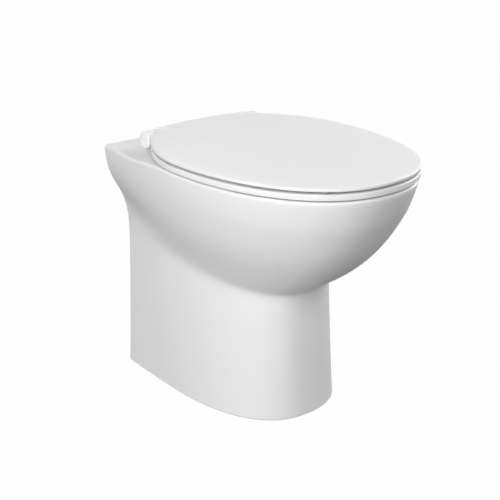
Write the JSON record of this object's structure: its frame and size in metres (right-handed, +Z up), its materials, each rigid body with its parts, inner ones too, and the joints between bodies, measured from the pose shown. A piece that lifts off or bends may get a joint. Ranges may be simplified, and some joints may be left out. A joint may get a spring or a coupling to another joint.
{
  "type": "toilet",
  "caption": "Floor-standing back-to-wall toilet: rimless ceramic pan on a smooth pedestal, with a slim soft-close seat and lid on hinge barrels and concealed floor brackets.",
  "frame": {"origin": "centre of the overall box at floor level; the wall plane is at y = +0.2615 m", "axes": "+Z up; the back with the flush inlet and outlet faces the wall at +Y, the nose of the pan points to -Y, +X is to the right as seen from in front"},
  "size_m": [0.355, 0.523, 0.4467],
  "materials": {
    "ceramic": "white gloss glaze",
    "seat_plastic": "white gloss moulded urea",
    "insert_plastic": "natural white moulding",
    "damper_plastic": "grey moulding",
    "seal_rubber": "black rubber",
    "pad_rubber": "pale soft rubber",
    "zinc_steel": "zinc plated",
    "bright_steel": "stainless"
  },
  "bodies": {
    "pan_body": {"pan": "ceramic", "flush_inlet_seal": "seal_rubber", "flush_spreader": "insert_plastic", "floor_bracket_left": "zinc_steel", "floor_bracket_right": "zinc_steel", "clamp_bolts": "bright_steel", "clamp_washers": "zinc_steel", "clamp_nuts": "bright_steel", "post_pads": "pad_rubber", "hinge_post_left": "seat_plastic", "hinge_post_right": "seat_plastic", "hinge_pin_left": "bright_steel", "hinge_pin_right": "bright_steel", "post_studs": "bright_steel", "expanding_plugs": "seal_rubber", "plug_cones": "insert_plastic", "stud_nuts": "bright_steel"},
    "seat_body": {"seat": "seat_plastic", "seat_buffers": "pad_rubber", "seat_damper": "damper_plastic"},
    "lid_body": {"lid": "seat_plastic", "lid_buffers": "pad_rubber", "lid_damper": "damper_plastic", "barrel_cap_left": "seat_plastic", "barrel_cap_right": "seat_plastic"}
  },
  "joints": [
    {"name": "seat_hinge", "type": "hinge", "parent": "pan_body", "child": "seat_body", "pos_m": [0, 0.1855, 0.42875], "axis": [-1, 0, 0], "range_deg": [0, 90]},
    {"name": "lid_hinge", "type": "hinge", "parent": "seat_body", "child": "lid_body", "pos_m": [0, 0.1855, 0.42875], "axis": [-1, 0, 0], "range_deg": [0, 90]}
  ]
}
